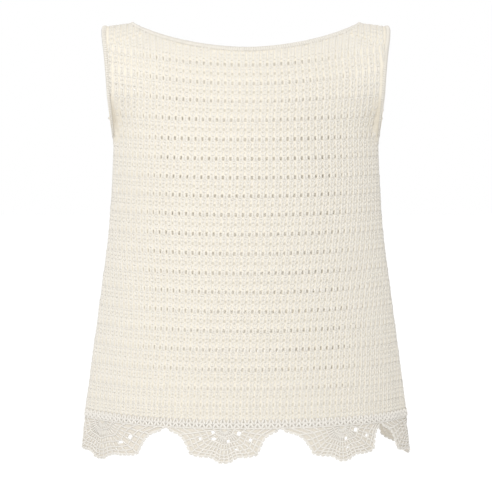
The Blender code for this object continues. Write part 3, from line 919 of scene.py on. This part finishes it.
def hole_openness(turn, drop, middle):
    """The holes draw together towards the sides, at the shoulders, low down and, on the front,
    towards the left."""
    share = np.sin(turn)
    wide = np.abs(share)
    deeper = sum(0.5 * ramp(drop, *row) for row in DEEPER_RAMPS)
    left = deeper * ramp(-share, *LEFT_RAMP) if middle == FRONT else 0.0
    top = ramp(-drop, *TOP_FADE) * ramp(wide, *TOP_RAMP)
    closed = SIDES * ramp(wide, *SIDES_RAMP) + LEFT * left + LOW * ramp(drop, *LOW_RAMP) + TOP * top
    return np.maximum(1.0 - closed, LEAST_OPEN)


def panel_sheet(middle):
    """Grid of a panel's backing cloth, its lines along the edges of the holes."""
    lines = []
    for k in range(TOP_LINES[middle], len(HOLE_COURSES)):
        for at, half in ((k, HOLE_HALF_HEIGHT), (k + 0.5, SHADE_DOT_HALF_HEIGHT)):
            lines += [(at - half, False), (at + half, True)]
    last = np.interp(BODY_END, HOLE_COURSES, range(len(HOLE_COURSES)))
    lines = [line for line in lines if line[0] < last - 0.02] + [(last, False)]
    first_plain = -HOLE_HALF_HEIGHT
    numbers = np.arange(-MOST_COLUMNS, MOST_COLUMNS + 1.0)
    turns, drops = [], []
    for course, _ in lines:
        at = max(course, first_plain)
        turn, drop = spot(numbers, at, middle)
        openness = hole_openness(turn - middle, drop, middle)
        halves = HOLE_HALF_WIDTH * np.stack([-openness, openness], -1)
        columns = (numbers[:, None] + halves).ravel()
        turn, drop = spot(columns, at, middle)
        if course < first_plain:
            top = np.sqrt(top_drop(np.sin(turn - middle), middle))
            left = (course - lines[0][0]) / (first_plain - lines[0][0])
            drop = (top + (np.sqrt(np.maximum(drop, top ** 2)) - top) * left) ** 2
        if course == last:
            drop = np.full(len(columns), BODY_END)
        turn = np.clip(turn, middle - SHEET_TURN, middle + SHEET_TURN)
        turns.append(turn)
        drops.append(np.clip(drop, top_drop(np.sin(turn - middle), middle), BODY_END))
    turns, drops = np.array(turns), np.array(drops)
    points, out = face(turns, drops, middle)
    tops = top_drop(np.sin(turns - middle), middle)
    open_cells, shaded_cells = set(), set()
    for i, (course, closes) in enumerate(lines):
        if not closes or course < -0.5:  # above the first dots of painted shade
            continue
        # closed cells between courses of holes, and holes below LAST_OPEN, become dots of painted shade
        chosen = shaded_cells if course % 1.0 > 0.5 or course > LAST_OPEN else open_cells
        for j in range(0, 2 * len(numbers) - 1, 2):
            corners = [(i - 1, j), (i, j), (i, j + 1), (i - 1, j + 1)]
            if all(
                drops[c] > tops[c] + HOLE_ROOM
                and abs(math.sin(turns[c] - middle)) < (HIGH_REACH if drops[c] < HIGH else REACH)
                for c in corners
            ):
                chosen.add((i - 1, j))
    return points, out, open_cells, shaded_cells


def flap_sheets():
    """Grids of the back panel's straps in front of the ridge."""
    across, down = np.meshgrid(np.linspace(0.0, 1.0, 13), np.linspace(0.0, 1.0, 11))
    gap = np.where(down == 1.0, 0.5 * SEAM_GAP, 0.0)
    return [(*flap_point(side, across, down, gap), set()) for side in (1.0, -1.0)]


# ---- stitches of the panels
FLAP_COURSES = 6
FLAP_COURSE = 0.0050  # its usual height
FLAP_TALLNESS = (0.8, 1.4)
FLAP_WIDE = 0.92
FLAP_EDGE = 0.002  # room beside the edgings
SIDE_STEP = 0.0048  # from stitch to stitch down a side seam
SIDE_INSET = 0.0032
SIDE_WIDE = 0.7
SIDE_TOP, SIDE_END = 0.004, 0.003  # bare ends of the seam
INWARDS_TURN = math.radians(80.0)
TIP_DROPS = (0.0015, 0.005)  # below the underarm
SHADE_DOT_NARROW = 0.80  # stitches between two courses are narrowed to leave the dots of painted shade in view


def flap_rows():
    """Stitches of the straps in front of the ridge."""
    found = []
    for side in (1.0, -1.0):
        for j in range(FLAP_COURSES):
            x = np.arange(SEAM_INNER + 0.004, half_width(0.0), STITCH_WIDTH * FLAP_WIDE)
            drop, above, below = [((j + part) / FLAP_COURSES) ** 2 * seam_drop(x) for part in (0.5, 0.0, 1.0)]
            clear = (neck_drop(x + FLAP_EDGE, FRONT) < drop) & (x < half_width(drop) - FLAP_EDGE)
            x, drop, above, below = x[clear], drop[clear], above[clear], below[clear]
            turn, upper, lower = [side * np.arcsin(x / half_width(d)) for d in (drop, above, below)]
            rise = surface(upper, above) - surface(lower, below)
            out, up = outward(turn, drop, FRONT), unit(rise)
            tall = np.clip(norm(rise) / FLAP_COURSE, *FLAP_TALLNESS)
            place = surface(turn, drop) - out * YARN_DEPTH
            found.append([place, beside(out, up), up, np.full(len(turn), FLAP_WIDE), tall])
    return joined(*found)


def side_rows(middle):
    """A column of stitches down each side seam; one at its top closes the underarm."""
    found = []
    for side in (1.0, -1.0):
        drop = np.arange(UNDERARM + SIDE_TOP, BODY_END - SIDE_END, SIDE_STEP)
        edge = middle + side * EDGE_TURN
        place = surface(edge, drop)
        out, up = outward(edge, drop, middle), upward(edge, drop)
        inwards = surface(middle + side * INWARDS_TURN, drop) - place
        inwards = unit(inwards - up * (inwards * up).sum(-1, keepdims=True))
        place = place + inwards * SIDE_INSET - out * YARN_DEPTH
        ones = np.ones(len(drop))
        found.append([place, beside(out, up), up, ones * SIDE_WIDE, ones])
        if middle == FRONT:
            tip = surface(edge, UNDERARM + np.array(TIP_DROPS))
            out, up, ones = np.array([[side, 0.0, 0.0]] * 2), np.array([[0.0, 0.0, 1.0]] * 2), np.ones(2)
            found.append([tip - out * YARN_DEPTH, np.cross(-out, up), up, ones, ones])
    return joined(*found)


# ---- edgings
NECK_POINTS, ARMHOLE_POINTS = {FRONT: 120, BACK: 130}, 60  # that each half of a path is read at
STRAP = np.linspace(0.05, 0.95, 12)  # where the paths are read from ridge to seam
RING_STEP = 0.0022  # between the rings of a band's core
RING_SIDES = 8
CORE_WIDE, CORE_INSET, CORE_THICK = 0.56, 0.08, 0.36  # of the band's width and thickness
WRAP_PITCH = 0.0029
RIDGE_REACH = 0.007
RIDGE_NARROW = 0.4  # round the neck the band narrows where it crosses the ridge of the shoulder


def blend_sideways(out, turn, drop):
    """Round an armhole the edge's outward direction turns to face sideways at the bottom."""
    sideways = np.zeros_like(out)
    sideways[..., 0] = np.sign(np.sin(turn))
    clear = ramp(-drop, -UNDERARM, UNDERARM_SOFT)[..., None]
    return unit(out * clear + sideways * (1.0 - clear))


def neck_path():
    """Places and outward directions round the neck."""
    inner = SEAM_INNER / float(half_width(SEAM_DROP))
    share = np.linspace(-inner, inner, NECK_POINTS[FRONT])
    front = face(np.arcsin(share), top_drop(share, FRONT))
    left, right = [flap_point(side, 0.0, STRAP[::-side]) for side in (1, -1)]
    inner = NECK_HALF / float(half_width(0.0))
    turn = np.arcsin(np.linspace(-inner, inner, NECK_POINTS[BACK]))
    return joined(front, left, face(BACK + turn, top_drop(np.sin(turn), BACK)), right)


def armhole_path(side):
    """Places and outward directions round an armhole."""
    swing = 0.5 - 0.5 * np.cos(np.linspace(0.02, 1.0, ARMHOLE_POINTS) * math.pi)
    turn = side * EDGE_TURN
    seam = float(top_drop(np.array(1.0), FRONT))
    down = seam + (UNDERARM - seam) * swing
    rising = (UNDERARM * swing)[::-1][1:]
    sides = []
    for at, drop, middle in ((turn, down, FRONT), (math.pi - turn, rising, BACK)):
        out = outward(at, np.minimum(drop, FLARE_START), middle)
        sides.append((surface(at, drop), blend_sideways(out, turn, drop)))
    path = joined(*sides, flap_point(side, 1.0, np.linspace(0.0, 0.95, len(STRAP))))
    return path if side > 0.0 else [part[::-1] for part in path]


def evenly(values, at, places):
    """Values known at some distances along a line, read at others."""
    return np.stack([np.interp(places, at, column) for column in values.T], -1)


def smoothed(values, reach):
    """A moving average round a closed line."""
    total = sum(np.roll(values, shift, axis=0) for shift in range(-reach, reach + 1))
    return total / (2 * reach + 1)


def edging(name, path, width, narrow, seed):
    """A soft band along an edge, and the stitches wrapped round it."""
    place, out = joined(path, [part[:1] for part in path])
    run = run_along(place)
    count = int(run[-1] / RING_STEP)
    at = np.linspace(0.0, run[-1], count, endpoint=False)
    place, out = smoothed(evenly(place, run, at), 1), unit(smoothed(evenly(out, run, at), 3))
    along = unit(smoothed(np.roll(place, -1, axis=0) - np.roll(place, 1, axis=0), 2))
    away = unit(np.cross(out, along))
    out = unit(np.cross(along, away))
    crossing = np.exp(-(place[:, 2] / RIDGE_REACH) ** 2)
    widths = width * (1.0 - narrow * smoothed(crossing[:, None], 2))
    centre = place + away * (SEAM_GAP + 0.5 * widths) - out * (0.5 * WALL)

    mesh = bmesh.new()
    rings = []
    for c, a, o, w in zip(centre, away, out, widths):
        angles = [2.0 * math.pi * (j + 0.5) / RING_SIDES for j in range(RING_SIDES)]
        rings.append([mesh.verts.new(
            c + a * (math.cos(t) * CORE_WIDE - CORE_INSET) * w + o * math.sin(t) * CORE_THICK * BAND_THICK
        ) for t in angles])
    for here, there in zip(rings, rings[1:] + rings[:1]):
        for j in range(RING_SIDES):
            k = (j + 1) % RING_SIDES
            mesh.faces.new((here[j], here[k], there[k], there[j])).smooth = True
    core = finished(f"{name}_core", mesh, edge_core)

    wraps = int(run[-1] / WRAP_PITCH)
    at_wraps = np.arange(wraps) * run[-1] / wraps
    closed = np.concatenate([at, run[-1:]])

    def on_path(values):
        return evenly(np.concatenate([values, values[:1]]), closed, at_wraps)

    wide, tall = np.full(wraps, width / NECK_BAND), on_path(widths)[:, 0] / NECK_BAND
    rows = [on_path(centre), unit(on_path(along)), unit(on_path(away)), wide, tall]
    return core, [stitch_piece(f"{name}_wraps", "wrap", rows, seed, edge_yarn)], run[-1]


# ---- lace
LACE_TOP = BODY_END + SEAM_GAP
LACE_DEPTH = 0.5 * WALL  # middle of the lace's cords below its outer face
PICOT_ROOM = 0.0022  # the small loops round a fan fill this much of its reach
PICOT_PITCH = 0.0066
PICOT_SPAN = 0.98  # share of the fan's half circle that has them
CORD_RADIUS, CORD_POINTS, CORD_SIDES = 0.00115, 49, 5
STRIP_ROWS = (0.0028, 0.0071)  # below the top of the strip
STRIP_WIDE = (1.0, 1.15)  # how wide their stitches are
STRIP_CELLS = 90
WIDE_BARS, WIDE_BAR = 3, 1.2  # from this ring on, and how wide
HEM_TURNS = np.linspace(0.0, 2.0 * math.pi, 721)
HEM_RUN = run_along(surface(HEM_TURNS, HEM_LEVEL)[:, :2])


def turn_at(distance):
    laps = np.floor(distance / HEM_RUN[-1])
    return np.interp(distance - laps * HEM_RUN[-1], HEM_RUN, HEM_TURNS) + laps * 2.0 * math.pi


def ring_radius(ring, angle):
    """Radius of a ring, counted from the eye and in between too, at an angle from straight down."""
    reach = fan_reach(np.abs(np.degrees(angle))) - PICOT_ROOM * np.cos(angle)
    radii = np.stack([r.radius + (reach - RINGS[-1].radius) * r.share for r in RINGS], -1)
    low = np.clip(np.floor(ring).astype(int), 0, len(RINGS) - 2)
    pick = [np.take_along_axis(radii, (low + k)[..., None], -1)[..., 0] for k in (0, 1)]
    return np.where(ring < 0.0, 0.0, pick[0] + (pick[1] - pick[0]) * (ring - low))


def fan_point(scallop, ring, angle):
    """Place and outward direction on a fan."""
    ring, angle = np.broadcast_arrays(np.asarray(ring, float), np.asarray(angle, float))
    radius = ring_radius(ring, angle)
    across = radius * np.sin(angle)
    after = across >= 0.0
    corner = np.where(after, scallop.corner_after, scallop.corner_before)
    valley = np.where(after, scallop.valley_after, scallop.valley_before)
    away = np.minimum(np.abs(across), FAN_HALF)
    reach = corner * np.minimum(away / FAN_CORNER, 1.0)
    reach = reach + (valley - corner) * np.maximum(away - FAN_CORNER, 0.0) / (FAN_HALF - FAN_CORNER)
    turn = turn_at(scallop.middle + np.sign(across) * reach)
    drop = LACE_TOP + STRIP + radius * np.cos(angle) * scallop.length
    return face(turn, drop)


# Gaps that stay open in each fan, by their place in GAPS; yarn fills the others
FRONT_OPEN = ((12, 13), (0, 1, 3, 5, 6, 11, 13), (3, 5, 10, 13), (1, 3, 7, 11))
BACK_OPEN = ((0, 2, 5, 7, 10, 13), (1, 3, 4, 6, 9, 12), (0, 1, 4, 5, 8, 11))


def fan_sheet(scallop, still_open):
    """Grid of a fan's backing with some of its gaps left open."""
    rings = np.concatenate([[-1.0], np.arange(0.0, len(RINGS) - 0.75, 0.5)])
    angles = np.linspace(-SIDE_TURN, SIDE_TURN, 2 * FAN_SPOKES + 1)
    ring, angle = np.meshgrid(rings, angles, indexing="ij")
    cells = set()
    for number in still_open:
        gap = GAPS[number]
        i = 2 * gap.ring + 1 + number % 2
        cells.update((i, j) for j in range(2 * gap.first, 2 * gap.last))
    return (*fan_point(scallop, ring, angle), cells)


def strip_sheet(first, last):
    """Grid of the strip over the fans, between two distances round the hem."""
    turn, down = np.meshgrid(turn_at(np.linspace(first, last, STRIP_CELLS)), np.linspace(0.0, STRIP, 4))
    return (*face(turn, LACE_TOP + down), set())


def strip_rows(first, last):
    """Knitted stitches of the strip."""
    count = round((last - first) / STITCH_WIDTH)
    step = (last - first) / count
    turn, down = np.meshgrid(turn_at(first + (np.arange(count) + 0.5) * step), STRIP_ROWS)
    turn, drop = turn.ravel(), LACE_TOP + down.ravel()
    place, out = face(turn, drop)
    up = upward(turn, drop)
    wide = np.repeat(STRIP_WIDE, count) * step / STITCH_WIDTH
    return [place - out * LACE_DEPTH, beside(out, up), up, wide, np.ones(len(turn))]


def bar_rows(starts, ends, outs, wide):
    """Short upright stitches between pairs of places."""
    run = ends - starts
    length = norm(run)
    up = unit(run)
    middle = 0.5 * (starts + ends) - outs * LACE_DEPTH
    return [middle, beside(outs, up), up, np.full(len(length), wide), length / BAR_HEIGHT]


def fan_bars(scallop, still_open):
    """The upright stitches of a fan: closer together in its solid rings, and between its gaps."""
    step = math.pi / FAN_SPOKES
    rows = []
    for ring in range(len(RINGS) - 1):
        places = np.arange(0.0, FAN_SPOKES + 1.0, 2.0 if ring == 0 else 1.0)
        open_at = np.zeros(len(places), bool)
        for gap in [GAPS[number] for number in still_open]:
            open_at |= (gap.ring == ring) & (places > gap.first) & (places < gap.last)
        angle = places[~open_at] * step - SIDE_TURN
        start, out = fan_point(scallop, ring, angle)
        end, _ = fan_point(scallop, ring + 1.0, angle)
        rows.append(bar_rows(start, end, out, 1.0 if ring < WIDE_BARS else WIDE_BAR))
    return joined(*rows)


def fan_picots(scallop):
    """Small loops round the outline of a fan."""
    angle = np.linspace(-SIDE_TURN * PICOT_SPAN, SIDE_TURN * PICOT_SPAN, 400)
    outer, out = fan_point(scallop, len(RINGS) - 1.0, angle)
    run = run_along(outer)
    at = np.arange(0.5 * PICOT_PITCH, run[-1], PICOT_PITCH)
    place, out = evenly(outer, run, at), unit(evenly(out, run, at))
    ahead, behind = evenly(outer, run, at + 0.002), evenly(outer, run, at - 0.002)
    along = unit(ahead - behind)
    away = unit(np.cross(out, along))
    eye, _ = fan_point(scallop, 0.0, 0.0)
    wrong = ((place - eye) * away).sum(-1) < 0.0
    away = np.where(wrong[:, None], -away, away)
    ones = np.ones(len(at))
    return [place - out * LACE_DEPTH, beside(out, away), away, ones, ones]


def lace(name, scallops, still_open, seed):
    """A run of scallops: backing cloth, cords, upright stitches and small loops."""
    first = scallops[0].middle - scallops[0].valley_before + 0.5 * SEAM_GAP
    last = scallops[-1].middle + scallops[-1].valley_after - 0.5 * SEAM_GAP
    fans = list(zip(scallops, still_open))
    sheets = [fan_sheet(*fan) for fan in fans] + [strip_sheet(first, last)]
    base = wall(f"{name}_backing", sheets, [lace_backing], LACE_BACKING_DEPTH)

    mesh = bmesh.new()
    uv = mesh.loops.layers.uv.new("UVMap")
    angle = np.linspace(-SIDE_TURN, SIDE_TURN, CORD_POINTS)
    lines = [fan_point(scallop, ring, angle) for scallop in scallops for ring in range(1, len(RINGS))]
    turn = turn_at(np.linspace(first, last, STRIP_CELLS))
    lines.append(face(turn, LACE_TOP + STRIP))
    for place, out in lines:
        strand(mesh, uv, place - out * LACE_DEPTH, [CORD_RADIUS] * len(place), CORD_SIDES, out)
    cords = finished(f"{name}_cords", mesh, lace_yarn)

    bars = joined(*[fan_bars(*fan) for fan in fans])
    picots = joined(*[fan_picots(scallop) for scallop in scallops])
    return base, [
        cords,
        stitch_piece(f"{name}_bars", "bar", bars, seed, lace_yarn),
        stitch_piece(f"{name}_strip", "vee", strip_rows(first, last), seed + 2, lace_yarn),
        stitch_piece(f"{name}_picots", "picot", picots, seed + 1, lace_yarn),
    ]


def even_scallops(start, end, count):
    """Scallops that fill a part of the hem alike."""
    half = 0.5 * (end - start) / count
    corner = half * CORNER_SHARE
    middles = [start + half * (2 * i + 1) for i in range(count)]
    return [Scallop(middle, corner, half, corner, half, 1.0) for middle in middles]


# ---- pieces
POST_COURSE, RIDGE_COURSE, PLAIN_COURSE = 0.0085, 0.003, 0.005  # heights of their stitches
POST_HEIGHT = 0.95  # of the drawn one
RIDGES = (-0.2, 0.2)  # courses above and below each course of holes
PLAIN, BETWEEN = (0.30, 0.71), 0.505
YOKE_START, YOKE_STEP = 0.29, 0.205  # plain courses above the first holes
YOKE_COURSES = {FRONT: 8, BACK: 20}
PARTS = ("upper", -9.0, 9.0, 7), ("lower", 9.0, 99.0, 9)  # name, first and last course, seed
POST_SEED, RIDGE_SEED = 3, 5


def panel_pieces(label, middle):
    """A panel's backing cloth and its stitches."""
    holes = range(len(HOLE_COURSES) - 1)
    sheets = [panel_sheet(middle)] + (flap_sheets() if middle == BACK else [])
    # the second finish is the darker cloth painted as shade in the closed cells
    backing_piece = wall(f"{label}_backing", sheets, [backing, shade_dot_finish])
    posts = stitch_rows(middle, holes, POST_COURSE)
    ridges = stitch_rows(middle, [k + side for k in holes for side in RIDGES], RIDGE_COURSE)
    pieces = [
        stitch_piece(f"{label}_posts", "post", posts, POST_SEED, height=POST_HEIGHT),
        stitch_piece(f"{label}_loops", "loop", ridges, RIDGE_SEED),
    ]
    plain = [k + part for k in holes for part in PLAIN]
    plain += [-YOKE_START - YOKE_STEP * i for i in range(YOKE_COURSES[middle])]
    for part, low, high, seed in PARTS:
        rows, narrow = [
            stitch_rows(middle, [c for c in courses if low <= c < high], PLAIN_COURSE)
            for courses in (plain, [k + BETWEEN for k in holes])
        ]
        narrow[3] = narrow[3] * SHADE_DOT_NARROW
        rows = joined(rows, narrow)
        if part == "lower":
            rows = joined(rows, side_rows(middle))
        elif middle == BACK:
            rows = joined(rows, flap_rows())
        pieces.append(stitch_piece(f"{label}_vees_{part}", "vee", rows, seed))
    return backing_piece, pieces


def register(node, slot, base, extra, flat, area):
    """The pieces that stand for a node; the base is its sheet of cloth."""
    for piece in [base] + extra:
        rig.ride(piece, "root")
        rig.replaces(piece, node)
        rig.slot(piece, slot)
    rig.sheet(base, flat=flat, area=area, held="hung", rests_on=[], with_pieces=extra)


PANEL_FLAT, PANEL_AREA = (0.46, 0.50), 0.20
EDGING_FLAT = 0.010  # width of an edging's strip
for label, middle in (("front_panel", FRONT), ("back_panel", BACK)):
    register(label, "cream_knit", *panel_pieces(label, middle), PANEL_FLAT, PANEL_AREA)
for label, path, width, narrow, seed in (
    ("neck_edging", neck_path(), NECK_BAND, RIDGE_NARROW, 11),
    ("armhole_edging_left", armhole_path(1.0), ARM_BAND, 0.0, 12),
    ("armhole_edging_right", armhole_path(-1.0), ARM_BAND, 0.0, 13),
):
    base, extra, length = edging(label, path, width, narrow, seed)
    register(label, "cream_edging", base, extra, (length, EDGING_FLAT), length * width)
start = FRONT_SCALLOPS[-1].middle + FRONT_SCALLOPS[-1].valley_after
end = HEM_RUN[-1] + FRONT_SCALLOPS[0].middle - FRONT_SCALLOPS[0].valley_before
for label, scallops, still_open, seed, flat, area in (
    ("hem_lace_front", FRONT_SCALLOPS, FRONT_OPEN, 21, (0.62, 0.059), 0.0215),
    ("hem_lace_back", even_scallops(start, end, BACK_SCALLOPS), BACK_OPEN, 23, (0.39, 0.054), 0.0135),
):
    register(label, "cream_lace", *lace(label, scallops, still_open, seed), flat, area)
for piece in drawn.values():
    bpy.data.objects.remove(piece)

# ---- stage
FLOOR_HALF, FLOOR_LEVEL = 14.0, -1.0
WHITE = (1.0, 1.0, 1.0, 1.0)
KEY_AT, KEY_AIM, KEY_SIZE, KEY_POWER = (-0.8, -3.5, 2.4), (0.0, 0.0, -0.25), 1.8, 120.0
# Heights and powers of small lamps inside, in place of the light that thin yarn lets through
GLOWS = (-0.13, 0.155), (-0.25, 0.155), (-0.37, 0.20), (-0.48, 0.12)
GLOW_X, GLOW_SIZE = -0.008, 0.04
CAMERA_AT, CAMERA_DIP, CAMERA_LENS = (0.00013, -3.6, -0.047), 3.7169, 209.5

floor = linked("floor", bpy.data.meshes.new("floor"))
corners = [(x * FLOOR_HALF, y * FLOOR_HALF, 0.0) for x, y in ((-1, -1), (1, -1), (1, 1), (-1, 1))]
floor.data.from_pydata(corners, [], [(0, 1, 2, 3)])
floor.location.z = FLOOR_LEVEL
pale = Finish(
    "pale_floor", Roughness=0.9, Base_Color=(0.9, 0.9, 0.9, 1.0), Emission_Color=WHITE, Emission_Strength=0.13
)
floor.data.materials.append(pale.material)
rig.stage(floor)

world = bpy.data.worlds.new("studio")
bpy.context.scene.world = world
world.use_nodes = True
world.node_tree.nodes["Background"].inputs["Color"].default_value = WHITE
world.node_tree.nodes["Background"].inputs["Strength"].default_value = 1.0


def lamp(name, kind, place, power):
    data = bpy.data.lights.new(name, kind)
    data.energy = power
    made = linked(name, data)
    made.location = place
    return made


key = lamp("key", "AREA", KEY_AT, KEY_POWER)
key.data.shape, key.data.size = "DISK", KEY_SIZE
key.rotation_euler = (Vector(KEY_AIM) - Vector(KEY_AT)).to_track_quat("-Z", "Y").to_euler()
for height, power in GLOWS:
    glow = lamp("glow", "POINT", (GLOW_X, 0.0, height), power)
    glow.data.shadow_soft_size = GLOW_SIZE
    glow.visible_camera = False

camera = linked("camera", bpy.data.cameras.new("camera"))
camera.data.lens, camera.data.sensor_width = CAMERA_LENS, 36.0
camera.data.clip_start, camera.data.clip_end = 0.1, 60.0
camera.location = CAMERA_AT
camera.rotation_euler = (math.radians(90.0 - CAMERA_DIP), 0.0, 0.0)
bpy.context.scene.camera = camera
bpy.context.scene.view_settings.view_transform = "Standard"

with open("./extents.json", "w") as file:
    json.dump({
        "cad": [list(corner) for corner in CAD_BOX],
        "visual": [list(corner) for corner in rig.bounds()],
    }, file)
